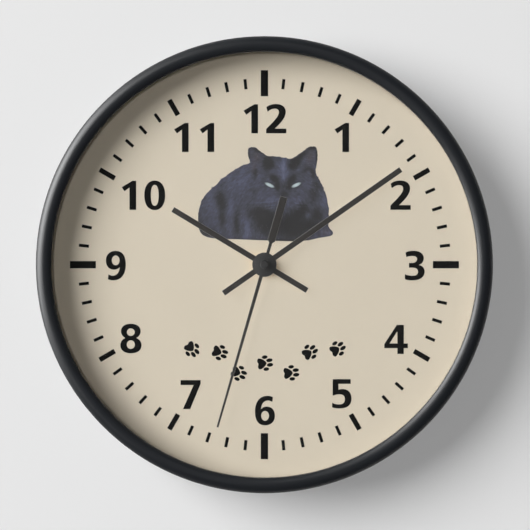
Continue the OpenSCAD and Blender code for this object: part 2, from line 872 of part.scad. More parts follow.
// Dished washer that lets the hands be set while the train stands still
module clutch_washer() {
    low = centre_layer[1] + 0.05;
    high = minute_layer[0] - 0.05;
    bore = minute_r + gap;
    color("#b9bcc0") at_case() rotate_extrude()
        polygon([[3, low], [3.2, low], [3.2, low + 0.2], [bore, high], [bore, high - 0.2]]);
}

module minute_tube() {
    color("#e2e2de") at_case() difference() {
        union() {
            rod(minute_r, [plate_layer[1] + 0.05, face + minute_hand_z[1]]);
            pinion(minute_pinion_teeth, minute_mod, 0, minute_layer);
        }
        rod(minute_bore, [plate_layer[0], face + minute_hand_z[1] + eps]);
    }
}

module motion_wheel() {
    color("#eeeae0") at_case() translate(motion_at) difference() {
        union() {
            wheel(motion_teeth, minute_mod, motion_phase, minute_layer);
            rod(1.5, [minute_layer[1], hour_layer[0]]);
            pinion(motion_pinion_teeth, hour_mod, 0, hour_layer);
        }
        rod(stud_r + running, [minute_layer[0] - eps, hour_layer[1] + eps]);
    }
}

module hour_wheel() {
    color("#e2e2de") at_case() difference() {
        union() {
            rod(hour_r, [minute_layer[1] + 0.1, face + hour_hand_z[1]]);
            wheel(hour_teeth, hour_mod, hour_phase, hour_layer);
        }
        rod(hour_bore, [minute_layer[0], face + hour_hand_z[1] + eps]);
    }
}

module setting_knob() {
    knob_z = [cover_layer[0] - 1.6, cover_layer[0] - 0.1];
    color("#2a2b2e") at_case() translate(knob_at) {
        slab(knob_z) polygon(gear_points(30, 0.34, [0.4, 0.6, 0.7, 0.4], 0));
        rod(knob_shaft_r, [knob_z[1], minute_layer[0]]);
        pinion(knob_teeth, minute_mod, knob_phase, minute_layer);
        rod(knob_pivot_r, [minute_layer[1], -1.6]);
    }
}

// ---------------------------------------------------------------- hands

module plain_hand(length, tail, width, bore, layer) {
    slab(layer) difference() {
        union() {
            translate([-width / 2, -tail]) square([width, length + tail]);
            circle(bore + 1.9);
        }
        circle(bore, $fn = 32);
    }
}

module hour_hand() {
    color("#333435") at_dial() clock_turn(hour_angle)
        plain_hand(hour_len, tail_len, hour_w, hour_r + gap, hour_hand_z);
}

module minute_hand() {
    color("#333435") at_dial() clock_turn(minute_angle)
        plain_hand(minute_len, tail_len, minute_w, minute_r + gap, minute_hand_z);
}

// The needle tapers to its tip, and a flat bar on a thin neck balances it. The bar's end near
// the hub has cut corners.
module second_hand() {
    bar = [12.7, 39.4];
    bar_w = 4.2;
    neck_w = 1.8;
    root_w = 2.15;
    tip_w = 1.15;
    cut = 1.2;
    color("#333435") at_dial() clock_turn(second_angle) {
        slab(second_hand_z) difference() {
            union() {
                polygon([[-root_w / 2, 0], [root_w / 2, 0], [tip_w / 2, second_len],
                    [-tip_w / 2, second_len]]);
                translate([-neck_w / 2, -bar[0] - 1]) square([neck_w, bar[0] + 1]);
                polygon([[-bar_w / 2, -bar[1]], [bar_w / 2, -bar[1]],
                    [bar_w / 2, -bar[0] - cut], [bar_w / 2 - cut, -bar[0]],
                    [cut - bar_w / 2, -bar[0]], [-bar_w / 2, -bar[0] - cut]]);
                circle(3);
            }
            circle(seconds_r + gap, $fn = 32);
        }
        disc_ring(1.3, seconds_r + gap, [second_hand_z[0] - 0.8, second_hand_z[0]], $fn = 32);
    }
}

// A shallow dome with a small knob standing up in its middle
module hub_cap() {
    rim_h = 0.4;
    rise = cap_h - rim_h;
    r = cap_d / 2;
    dome_r = (r * r + rise * rise) / (2 * rise);
    color("#1b1c1d") at_dial() translate([0, 0, second_hand_z[1]]) {
        intersection() {
            cylinder(r = r, h = cap_h);
            translate([0, 0, cap_h - dome_r]) sphere(r = dome_r, $fn = 180);
        }
        cylinder(d = cap_knob_d, h = cap_knob_h);
    }
}

// ---------------------------------------------------------------- assembly

frame_ring();
lens();
spacer_ring();
dial();
hour_numerals();
minute_marks();
cat_print();
paw_prints();
backing_board();
retaining_clips();
clip_screws();
hanger_bracket();
rubber_gasket();
threaded_bush();
brass_washer();
hex_nut();
movement_case();
movement_cover();
middle_plate();
train_bridge();
bridge_screws();
circuit_board();
quartz_crystal();
driver_chip();
coil_bobbin();
coil_winding();
coil_core();
coil_screws();
stator_plate();
positive_contact();
negative_contact();
rotor_magnet();
rotor_pinion();
fifth_wheel();
seconds_wheel();
third_wheel();
centre_wheel();
clutch_washer();
minute_tube();
motion_wheel();
hour_wheel();
setting_knob();
battery_can();
battery_terminals();
hour_hand();
minute_hand();
second_hand();
hub_cap();
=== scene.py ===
"""The looks of a round quartz wall clock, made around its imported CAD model.

Everything is in metres in the row frame: X to the right, Z up, and the dial faces -Y, with the
wall at Y = 0. A depth is a distance in front of the wall, and a place on the dial is (x, z),
measured from the shaft.
"""

import json
import math

import bmesh
import bpy
import numpy as np
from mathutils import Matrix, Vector
from mathutils.geometry import delaunay_2d_cdt


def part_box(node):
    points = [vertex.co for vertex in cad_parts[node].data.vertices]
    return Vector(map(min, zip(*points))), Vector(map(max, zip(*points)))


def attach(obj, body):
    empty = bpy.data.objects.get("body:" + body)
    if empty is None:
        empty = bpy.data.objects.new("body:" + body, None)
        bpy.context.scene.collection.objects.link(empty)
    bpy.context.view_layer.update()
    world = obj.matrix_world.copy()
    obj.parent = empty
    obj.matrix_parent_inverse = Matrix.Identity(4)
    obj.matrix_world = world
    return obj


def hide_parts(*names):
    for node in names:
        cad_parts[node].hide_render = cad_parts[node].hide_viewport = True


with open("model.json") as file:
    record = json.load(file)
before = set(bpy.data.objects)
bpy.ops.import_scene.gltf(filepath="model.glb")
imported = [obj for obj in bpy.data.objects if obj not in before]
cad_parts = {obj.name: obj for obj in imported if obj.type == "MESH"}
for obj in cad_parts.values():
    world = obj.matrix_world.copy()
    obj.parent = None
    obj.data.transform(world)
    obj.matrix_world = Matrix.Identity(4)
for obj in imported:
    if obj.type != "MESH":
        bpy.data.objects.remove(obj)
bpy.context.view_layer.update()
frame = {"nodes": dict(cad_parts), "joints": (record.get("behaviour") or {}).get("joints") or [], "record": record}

MM = 0.001
JOINTS = {joint["name"]: joint for joint in frame["joints"]}
SHAFT = Vector(JOINTS["minute_hand_spin"]["pos_m"])
NODE_SLOTS = {part["node"]: part["material_slot"] for part in frame["record"]["subparts"]}

# ------------------------------------------------------------------ driving sizes

# Camera: its distance from the ring's front, its focal length and sensor width in millimetres,
# and how far it stands from the shaft's axis
CAMERA_GAP = 1.42
FOCAL = 173.9
SENSOR_W = 36
CAMERA_OFFSET = Vector((0.33, 0, -0.17)) * MM

# Lamps: each one's direction from the shaft, its distance, its width and its power
KEY_LAMP = (Vector((-105, -100, 42)), 7.0, 5.3, 620.0)
AHEAD_LAMP = (Vector((-2, -100, 1.5)), 6.0, 0.4, 55.0)
SIDE_LAMP = (Vector((-95, -12, 26)), 3.0, 3.6, 275.0)
BEHIND_LAMP = (Vector((30, 160, 50)), 1.7, 1.2, 18.0)

# World: its strength where the lens mirrors it, ahead of the clock, behind it, and in view
MIRRORED = 0.02
AHEAD = 0.1
BEHIND = 0.4
IN_VIEW = 0.72

# Backdrop: how far the wall reaches in behind the ring and out from the shaft, how far behind the
# clock it stands, the floor's half width and its height, and the glow of both
WALL_LAP = 3 * MM
WALL_REACH = 3.0
WALL_GAP = 0.2 * MM
FLOOR_HALF_W = 6.0
FLOOR_Z = -1.6
WALL_GLOW = 0.14
FLOOR_GLOW = 0.12

# Ring: the width of its lip, the radius of its outer round and the slope where that ends, the
# width and depth of its inner round, its back edge, and its gap round the lens
LIP_W = 8.6 * MM
OUTER_ROUND = 5.2 * MM
OUTER_SLOPE = 60
INNER_W = 3.9 * MM
INNER_DEPTH = 2.0 * MM
BACK_EDGE = 0.6 * MM
LENS_GAP = 0.3 * MM

# Hands: the width of the bevel along their edges
HAND_EDGES = {"hour": 0.2 * MM, "minute": 0.2 * MM, "second": 0.16 * MM}

# Cap over the shaft: the height of its dome and rim, and the radius and top round of its knob
CAP_H = 0.9 * MM
CAP_RIM = 0.4 * MM
KNOB_R = 2.4 * MM
KNOB_ROUND = 0.5 * MM

# Printed cat, in millimetres from the shaft: the points its fur lies away from, how far the
# nose's pull reaches, and the slope of the fur down its body
NOSE = np.array([10.9, 39.6])
HEAD = np.array([11.5, 49.0])
NOSE_REACH_SQUARED = 160
DOWNWARD = (0, -0.7)

# The cat's net: its steps on the fur and round the eyes, the share of a step between its rows,
# the half size of the finer part and the margin round it, and the net's gap to the outline
FUR_STEP = 0.36
FACE_STEP = 0.2
ROW_STEP = 0.866
EYE_NET = np.array([3.6, 2.4])
NET_MARGIN = 0.1
OUTLINE_GAP = 0.25

# The cat's outline: how far tufts lie in or out of it, how many points share one, the height
# where they start, the height they take to grow, and the half width of the larger ones
TUFT_RANGE = (-0.12, 0.28)
TUFT_POINTS = 3
FOOT_Z = 17
FOOT_FADE = 6
TUFT_W = 0.8

# The cat's tone: its middle, the strength, cell and reach of its broad and fine hairs, and the
# strength and half width of its whiskers
FUR_TONE = 0.495
BROAD_HAIRS = (0.03, 1.6, 1.8)
FINE_HAIRS = (0.05, 0.4, 0.7)
WHISKER_GAIN = 0.22
WHISKER_W = 0.22


# ------------------------------------------------------------------ mesh helpers


def depth_range(node):
    """Lowest and highest depth of a CAD node."""
    low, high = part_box(node)
    return -high.y, -low.y


def link(name, mesh):
    """A new object with that mesh, in the scene."""
    obj = bpy.data.objects.new(name, mesh)
    bpy.context.scene.collection.objects.link(obj)
    return obj


def from_bmesh(name, bm, sharp=30):
    """Makes an object of a bmesh: smooth shaded, sharp where faces meet at over that many degrees."""
    bmesh.ops.recalc_face_normals(bm, faces=bm.faces)
    mesh = bpy.data.meshes.new(name)
    bm.to_mesh(mesh)
    bm.free()
    mesh.shade_smooth()
    mesh.set_sharp_from_angle(angle=math.radians(sharp))
    return link(name, mesh)


def arc(centre, radius, start, end, steps):
    """Points on an arc, from one angle to another in degrees."""
    angles = np.radians(np.linspace(start, end, steps + 1))
    return [(centre[0] + radius * math.cos(a), centre[1] + radius * math.sin(a)) for a in angles]


def lathe(name, profile, centre, along="Y", segments=96, sharp=30):
    """Turns a closed profile of (radius, height) about a line through centre, along -Y or X."""
    bm = bmesh.new()
    rings = []
    for k in range(segments):
        a = 2 * math.pi * k / segments
        ring = []
        for radius, height in profile:
            u, v = radius * math.cos(a), radius * math.sin(a)
            place = Vector((u, -height, v)) if along == "Y" else Vector((height, u, v))
            ring.append(bm.verts.new(centre + place))
        rings.append(ring)
    count = len(profile)
    for k in range(segments):
        here, there = rings[k], rings[(k + 1) % segments]
        for i in range(count):
            j = (i + 1) % count
            bm.faces.new((here[i], here[j], there[j], there[i]))
    bmesh.ops.remove_doubles(bm, verts=bm.verts, dist=1e-7)
    bmesh.ops.dissolve_degenerate(bm, edges=bm.edges, dist=1e-7)
    return from_bmesh(name, bm, sharp)


def rounded_copy(name, node, width, chosen=lambda place: True):
    """A copy of a CAD node with its sharp edges rounded, where chosen says so of their middles."""
    source = frame["nodes"][node].data
    bm = bmesh.new()
    verts = [bm.verts.new(v.co) for v in source.vertices]
    for polygon in source.polygons:
        bm.faces.new([verts[i] for i in polygon.vertices])
    bmesh.ops.remove_doubles(bm, verts=bm.verts, dist=1e-6)
    bmesh.ops.dissolve_limit(bm, angle_limit=math.radians(1), verts=bm.verts, edges=bm.edges)
    edges = [
        e for e in bm.edges
        if e.is_manifold and e.calc_face_angle() > math.radians(30)
        and chosen((e.verts[0].co + e.verts[1].co) / 2)
    ]
    bmesh.ops.bevel(
        bm, geom=edges, offset=width, offset_type="OFFSET", segments=2, profile=0.5,
        affect="EDGES", clamp_overlap=True,
    )
    obj = from_bmesh(name, bm)
    obj.modifiers.new("even shading", "WEIGHTED_NORMAL").keep_sharp = True
    return obj


def plate(name, outlines, depths, edge):
    """Flat shapes given by (x, z) outlines from the shaft, between two depths, with bevelled rims."""
    bm = bmesh.new()
    for outline in outlines:
        face = bm.faces.new([bm.verts.new(on_dial(x, z, depths[0])) for x, z in outline])
        top = bmesh.ops.extrude_face_region(bm, geom=[face])["geom"]
        lift = [v for v in top if isinstance(v, bmesh.types.BMVert)]
        bmesh.ops.translate(bm, verts=lift, vec=(0, depths[0] - depths[1], 0))
    rim = [e for e in bm.edges if abs(e.verts[0].co.y - e.verts[1].co.y) < 1e-7]
    bmesh.ops.bevel(bm, geom=rim, offset=edge, segments=2, profile=0.5, affect="EDGES")
    return from_bmesh(name, bm)


def tube(name, path, radius, sides=12):
    """A round wire along a path of points, with closed ends."""
    bm = bmesh.new()
    rings = []
    for i, point in enumerate(path):
        ahead = (path[min(i + 1, len(path) - 1)] - path[max(i - 1, 0)]).normalized()
        side = ahead.orthogonal() if i == 0 else (side - ahead * side.dot(ahead))
        side.normalize()
        up = ahead.cross(side)
        turns = [2 * math.pi * k / sides for k in range(sides)]
        rings.append([
            bm.verts.new(point + radius * (side * math.cos(a) + up * math.sin(a))) for a in turns
        ])
    for here, there in zip(rings, rings[1:]):
        for k in range(sides):
            m = (k + 1) % sides
            bm.faces.new((here[k], here[m], there[m], there[k]))
    bm.faces.new(rings[0])
    bm.faces.new(rings[-1])
    return from_bmesh(name, bm)


def on_dial(x, z, depth):
    """The point at a place on the dial and a depth."""
    return Vector((SHAFT.x + x, -depth, SHAFT.z + z))


def at_depth(depth):
    """The point on the shaft's axis at a depth."""
    return on_dial(0, 0, depth)


def place_piece(obj, body, slot, *nodes):
    """Gives a piece its body and its slot's material, and hides the CAD nodes it stands in for."""
    obj.data.materials.append(MATERIALS[slot])
    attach(obj, body)
    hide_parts(*nodes)


# ------------------------------------------------------------------ material helpers


def srgb(code):
    """Linear colour of a six-digit sRGB code."""
    parts = [int(code[i:i + 2], 16) / 255 for i in (0, 2, 4)]
    linear = [c / 12.92 if c <= 0.04045 else ((c + 0.055) / 1.055) ** 2.4 for c in parts]
    return (*linear, 1.0)


def shade(colour, factor):
    """A colour made darker or lighter."""
    return (*[min(1.0, c * factor) for c in colour[:3]], 1.0)


class Look:
    """One material with a Principled shader, and short ways to add nodes to it."""

    def __init__(self, name, **sockets):
        self.material = bpy.data.materials.new(name)
        self.material.use_nodes = True
        self.tree = self.material.node_tree
        self.shader = self.tree.nodes["Principled BSDF"]
        self.place = self.node("ShaderNodeTexCoord").outputs["Object"]
        for socket, value in sockets.items():
            self.set(socket.replace("_", " "), value)

    def set(self, socket, value):
        """Sets one of the shader's sockets to a value, or links another node's output to it."""
        target = self.shader.inputs[socket]
        if isinstance(value, bpy.types.NodeSocket):
            self.tree.links.new(value, target)
        else:
            target.default_value = value

    def node(self, kind, inputs=None, **settings):
        """A new node with its inputs set or linked, and its own settings."""
        made = self.tree.nodes.new(kind)
        for key, value in settings.items():
            setattr(made, key, value)
        for key, value in (inputs or {}).items():
            if isinstance(value, bpy.types.NodeSocket):
                self.tree.links.new(value, made.inputs[key])
            else:
                made.inputs[key].default_value = value
        return made

    def vector(self, operation, *values):
        """A node of vector maths on these values."""
        return self.node("ShaderNodeVectorMath", dict(enumerate(values)), operation=operation)

    def maths(self, operation, *values):
        """The outcome of one sum on these values."""
        made = self.node("ShaderNodeMath", dict(enumerate(values)), operation=operation)
        return made.outputs[0]

    def parts(self, vector):
        """The X, Y and Z of a vector."""
        return self.node("ShaderNodeSeparateXYZ", {0: vector}).outputs

    def clear_where(self, kinds, colour):
        """Lets light straight through, tinted, where any of these factors is 1."""
        clear = self.node("ShaderNodeBsdfTransparent", {"Color": colour}).outputs[0]
        shader = self.shader.outputs[0]
        for kind in kinds:
            shader = self.node("ShaderNodeMixShader", {0: kind, 1: shader, 2: clear}).outputs[0]
        self.tree.links.new(shader, self.tree.nodes["Material Output"].inputs["Surface"])

    def noise(self, scale, detail=2.0, rough=0.5, stretch=None, vector=None):
        """Noise with about scale lumps to the metre, drawn out where stretch is below 1."""
        vector = vector or self.place
        if stretch:
            vector = self.node("ShaderNodeMapping", {"Vector": vector, "Scale": stretch}).outputs[0]
        inputs = {"Vector": vector, "Scale": scale, "Detail": detail, "Roughness": rough}
        return self.node("ShaderNodeTexNoise", inputs).outputs["Fac"]

    def spread(self, factor, low, high, start=0.3, end=0.7):
        """Maps a factor between start and end to low and high."""
        inputs = {
            "Value": factor, "From Min": start, "From Max": end, "To Min": low, "To Max": high
        }
        return self.node("ShaderNodeMapRange", inputs).outputs["Result"]

    def blend(self, factor, first, second):
        """A colour between two, by a factor from 0 to 1."""
        inputs = {"Factor": factor, 6: first, 7: second}
        return self.node("ShaderNodeMix", inputs, data_type="RGBA").outputs[2]

    def bump(self, height, depth):
        """Raises the surface by up to a depth, where the height is 1."""
        inputs = {"Height": height, "Distance": depth, "Strength": 1.0}
        self.set("Normal", self.node("ShaderNodeBump", inputs).outputs["Normal"])

    def around_shaft(self, across):
        """Coordinates that change slowly round the shaft and fast across it and in depth."""
        centred = self.vector("ADD", self.place, tuple(-SHAFT)).outputs[0]
        flat = self.vector("MULTIPLY", centred, (1, 0, 1)).outputs[0]
        radius = self.vector("LENGTH", flat).outputs["Value"]
        turn = self.parts(self.vector("NORMALIZE", flat).outputs[0])
        profile = self.maths("SUBTRACT", radius, self.parts(self.place)["Y"])
        profile = self.maths("MULTIPLY", profile, across)
        return self.node("ShaderNodeCombineXYZ", {0: turn["X"], 1: profile, 2: turn["Z"]}).outputs[0]


def set_stops(ramp, stops):
    """Gives a colour ramp its stops of (place, colour)."""
    while len(ramp.elements) < len(stops):
        ramp.elements.new(0.5)
    for element, (at, colour) in zip(ramp.elements, stops):
        element.position = at
        element.color = colour


def moulded(name, colour, rough, grain=2500, depth=0.004, vary=0.06, **sockets):
    """Plastic, rubber, card or paint: slight changes of colour and gloss over a fine grain."""
    look = Look(name, **sockets)
    cloud = look.noise(90, 3)
    fine = look.noise(grain, 2)
    look.set("Base Color", look.blend(cloud, shade(colour, 1 - vary), shade(colour, 1 + vary)))
    look.set("Roughness", look.spread(fine, max(0.02, rough - 0.05), min(1, rough + 0.05)))
    look.bump(fine, depth * MM)
    return look.material


def metal(name, colour, rough, stretch=(1, 1, 1), grain=1500, depth=0.002, vary=0.08):
    """Bare metal with brush marks along the directions where stretch is small."""
    look = Look(name, Metallic=1.0)
    cloud = look.noise(60, 3)
    marks = look.noise(grain, 3, 0.6, stretch)
    look.set("Base Color", look.blend(cloud, shade(colour, 1 - vary), shade(colour, 1 + vary)))
    look.set("Roughness", look.spread(marks, max(0.02, rough - 0.08), rough + 0.08))
    look.bump(marks, depth * MM)
    return look.material


# ------------------------------------------------------------------ materials


def ring_paint():
    """Satin black paint on turned wood: faint streaks run round the ring, under orange peel."""
    look = Look("ring_paint")
    streaks = look.noise(3.0, 4, 0.6, vector=look.around_shaft(450))
    peel = look.noise(1400, 2)
    look.set("Base Color", look.blend(streaks, srgb("111418"), srgb("181b20")))
    look.set("Roughness", look.spread(streaks, 0.36, 0.44))
    look.bump(look.maths("ADD", streaks, peel), 0.008 * MM)
    return look.material


def hand_paint():
    """Black paint on the front of punched sheet, with a pale colour along its cut edges: partly bare metal, partly
    a painted highlight that draws a light line on each edge however the light falls.
    """
    look = Look("hand_metal")
    black = srgb("322f2d")
    cloud = look.noise(90, 3)
    grain = look.noise(2200, 2)
    normal = look.node("ShaderNodeTexCoord").outputs["Normal"]
    # Painted highlight, partly bare metal: every face not turned straight to the front takes the pale colour, so
    # both edges of each hand show a light line
    bare_edge_highlight = look.spread(look.parts(normal)["Y"], 0.0, 1.0, -0.99, -0.92)
    paint = look.blend(cloud, shade(black, 0.96), shade(black, 1.04))
    look.set("Base Color", look.blend(bare_edge_highlight, paint, srgb("b9b7b2")))
    look.set("Roughness", look.spread(grain, 0.35, 0.45))
    look.bump(grain, 0.004 * MM)
    return look.material


def lens_sheet():
    """Clear acrylic that lets light straight through, with a faint unevenness in its gloss."""
    look = Look("lens", Transmission_Weight=1.0, IOR=1.49)
    look.set("Base Color", (0.985, 0.99, 0.99, 1.0))
    look.set("Roughness", look.spread(look.noise(40, 3), 0.0, 0.02))
    rays = look.node("ShaderNodeLightPath").outputs
    kinds = [rays["Is Diffuse Ray"], rays["Is Shadow Ray"]]
    look.clear_where(kinds, (0.93, 0.935, 0.935, 1.0))
    return look.material


def dial_card():
    """Warm cream print on card, with a paper tooth."""
    look = Look("dial")
    cloud = look.noise(35, 4)
    tooth = look.noise(2200, 3)
    cream = srgb("e7dac5")
    look.set("Base Color", look.blend(cloud, shade(cream, 0.985), shade(cream, 1.015)))
    look.set("Roughness", look.spread(tooth, 0.55, 0.68))
    look.bump(tooth, 0.006 * MM)
    return look.material


def cat_ink():
    """The picture's colours are on the mesh, and fine hairs are added along its own grain."""
    look = Look("cat_ink")
    fur = look.node("ShaderNodeAttribute", attribute_name="fur").outputs["Color"]
    hairs = look.noise(2600, 2)
    gain = look.spread(hairs, 0.9, 1.1)
    tinted = look.node("ShaderNodeVectorMath", {0: fur, 3: gain}, operation="SCALE")
    look.set("Base Color", tinted.outputs[0])
    look.set("Roughness", look.spread(hairs, 0.5, 0.62))
    look.bump(hairs, 0.003 * MM)
    return look.material


def fibreboard():
    """Brown board: pressed fibres, with darker and lighter flecks."""
    look = Look("board")
    fibres = look.noise(700, 4, 0.7, (1, 1, 0.45))
    flecks = look.noise(2600, 2, 0.7)
    ground = look.blend(fibres, srgb("7f6147"), srgb("a78662"))
    fleck = look.spread(flecks, 0, 0.7, 0.56, 0.7)
    look.set("Base Color", look.blend(fleck, ground, srgb("5c4330")))
    look.set("Roughness", look.spread(fibres, 0.75, 0.9))
    look.bump(fibres, 0.03 * MM)
    return look.material


def zinc_sheet():
    """Zinc plate with the cloudy patches of its crystals."""
    look = Look("zinc_steel", Metallic=1.0)
    cells = look.node("ShaderNodeTexVoronoi", {"Vector": look.place, "Scale": 260.0})
    cells = cells.outputs["Color"]
    marks = look.noise(1800, 3, 0.6, (1, 1, 0.1))
    mixed = look.node("ShaderNodeRGBToBW", {0: cells}).outputs[0]
    look.set("Base Color", look.blend(mixed, srgb("9a9ea1"), srgb("b3b7ba")))
    look.set("Roughness", look.spread(mixed, 0.38, 0.5, 0, 1))
    look.bump(marks, 0.003 * MM)
    return look.material


def circuit_green():
    """Green solder mask over paler tracks."""
    look = Look("circuit_board", Coat_Weight=0.4)
    inputs = {"Vector": look.place, "Scale": 420.0}
    cells = look.node("ShaderNodeTexVoronoi", inputs, feature="F1", distance="CHEBYCHEV")
    track = look.spread(cells.outputs["Distance"], 0, 1, 0.42, 0.46)
    look.set("Base Color", look.blend(track, srgb("24603a"), srgb("3f8a52")))
    look.set("Roughness", look.spread(track, 0.35, 0.28, 0, 1))
    look.bump(track, 0.03 * MM)
    return look.material


def battery_print():
    """A printed sleeve: a pale band at the positive end, then a dark blue body with a thin line."""
    look = Look("battery_sleeve", Coat_Weight=0.5, Coat_Roughness=0.15)
    low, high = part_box("battery_can")
    share = look.spread(look.parts(look.place)["X"], 0, 1, low.x, high.x)
    bands = look.node("ShaderNodeValToRGB", {"Fac": share})
    bands.color_ramp.interpolation = "CONSTANT"
    stops = [(0.0, "b9bec4"), (0.2, "c2502e"), (0.23, "26344f"), (0.93, "b9bec4")]
    set_stops(bands.color_ramp, [(at, srgb(code)) for at, code in stops])
    scuffs = look.noise(900, 4, 0.6, (0.2, 1, 1))
    look.set("Base Color", bands.outputs["Color"])
    look.set("Roughness", look.spread(scuffs, 0.22, 0.36))
    look.bump(scuffs, 0.003 * MM)
    return look.material


def wall_paint():
    """Pale matt wall that is only there from its front, so that the clock shows from behind."""
    look = Look("wall_paint", Emission_Color=(1.0, 1.0, 1.0, 1.0), Emission_Strength=WALL_GLOW)
    roll = look.noise(500, 3)
    look.set("Base Color", look.blend(look.noise(3, 2), srgb("d2d2d2"), srgb("d4d4d4")))
    look.set("Roughness", look.spread(roll, 0.85, 0.95))
    look.set("Specular IOR Level", 0.0)
    look.bump(roll, 0.02 * MM)
    behind = look.node("ShaderNodeNewGeometry").outputs["Backfacing"]
    look.clear_where([behind], (1.0, 1.0, 1.0, 1.0))
    return look.material


def floor_paint():
    """Pale matt floor."""
    return moulded("floor_paint", srgb("dcdcdc"), 0.8, 300, 0.02, 0.01, Specular_IOR_Level=0.0,
                   Emission_Color=(1.0, 1.0, 1.0, 1.0), Emission_Strength=FLOOR_GLOW)


MATERIALS = {
    "ring_paint": ring_paint(),
    "lens": lens_sheet(),
    "spacer": moulded("spacer", srgb("7d776d"), 0.6, 1800, 0.01),
    "dial": dial_card(),
    "ink": moulded("ink", srgb("0c0c0b"), 0.75, 2600, 0.003, Specular_IOR_Level=0.12),
    "cat_ink": cat_ink(),
    "board": fibreboard(),
    "zinc_steel": zinc_sheet(),
    "gasket": moulded("gasket", srgb("262729"), 0.8, 1500, 0.02, Specular_IOR_Level=0.3),
    "brass": metal("brass", srgb("cfa655"), 0.3, (1, 0.15, 1), 2500, 0.002),
    "case_plastic": moulded("case_plastic", srgb("202225"), 0.5, 3200, 0.012),
    "train_plastic": moulded("train_plastic", srgb("d8d8d2"), 0.5, 1500, 0.006),
    "gear_plastic": moulded("gear_plastic", srgb("e9e4d4"), 0.35, 1500, 0.004,
                            Subsurface_Weight=0.25, Subsurface_Scale=0.001),
    "circuit_board": circuit_green(),
    "crystal_can": metal("crystal_can", srgb("d5d7da"), 0.2, (0.1, 1, 1)),
    "chip_epoxy": moulded("chip_epoxy", srgb("141414"), 0.25, 900, 0.02),
    "copper": metal("copper", srgb("b8652f"), 0.3, (1, 0.1, 0.1)),
    "core_steel": metal("core_steel", srgb("8f9296"), 0.45, (0.1, 1, 1)),
    "magnet": metal("magnet", srgb("55585c"), 0.55, depth=0.01),
    "contact_metal": metal("contact_metal", srgb("d2bd86"), 0.3, (1, 1, 0.1)),
    "battery_sleeve": battery_print(),
    "battery_metal": metal("battery_metal", srgb("d2d3d5"), 0.25),
    "hand_metal": hand_paint(),
    "cap_metal": moulded("cap_metal", srgb("2a2929"), 0.45, 2200, 0.004, 0.04),
}


def dress_nodes():
    """Gives each CAD node that stays its slot's material."""
    for node, slot in NODE_SLOTS.items():
        materials = frame["nodes"][node].data.materials
        materials.clear()
        materials.append(MATERIALS[slot])


# ------------------------------------------------------------------ ring, hands and cap


def ring():
    """The wooden ring, turned as one smooth profile."""
    low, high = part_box("frame_ring")
    outer = (high.x - low.x) / 2
    front = -low.y
    lip = outer - LIP_W
    seat = depth_range("lens")[1]
    reach = OUTER_ROUND * math.sin(math.radians(OUTER_SLOPE))
    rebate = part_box("lens")[1].x - SHAFT.x + LENS_GAP
    inner_round = arc((0, 0), 1, 90, 180, 18)
    profile = [
        (rebate + BACK_EDGE, 0),
        (outer - BACK_EDGE, 0),
        (outer, BACK_EDGE),
        *arc((outer - reach, front - OUTER_ROUND), OUTER_ROUND, 90 - OUTER_SLOPE, 90, 16),
        *[(lip + INNER_W * (1 + x), front - INNER_DEPTH * (1 - y)) for x, y in inner_round],
        (lip, seat),
        (rebate, seat),
        (rebate, BACK_EDGE),
    ]
    made = lathe("ring", profile, at_depth(0), segments=288)
    place_piece(made, "clock", "ring_paint", "frame_ring")


def hands():
    """The three hands with bevelled edges, which cast no hard shadow on the dial."""
    for body, edge in HAND_EDGES.items():
        blade = rounded_copy(body + "_blade", body + "_hand", edge)
        blade.visible_shadow = False
        place_piece(blade, body, "hand_metal", body + "_hand")


def cap():
    """The cap over the shaft: a shallow dome, and the small knob whose soft shadow lies on it."""
    low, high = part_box("hub_cap")
    radius = (high.x - low.x) / 2
    base, top = depth_range("hub_cap")
    rise = CAP_H - CAP_RIM
    dome = (radius * radius + rise * rise) / (2 * rise)
    edge = math.degrees(math.acos(radius / dome))
    profile = [(0, base), (radius, base)]
    profile += arc((0, base + CAP_H - dome), dome, edge, 90, 20)
    disc = lathe("shaft_cap", profile, at_depth(0), segments=120, sharp=50)
    disc.visible_shadow = False
    place_piece(disc, "second", "cap_metal", "hub_cap")
    turned = [(0, base), (KNOB_R, base)]
    turned += arc((KNOB_R - KNOB_ROUND, top - KNOB_ROUND), KNOB_ROUND, 0, 90, 8)
    turned += [(0, top)]
    place_piece(lathe("cap_knob", turned, at_depth(0), sharp=50), "second", "cap_metal", "hub_cap")


# ------------------------------------------------------------------ printed cat

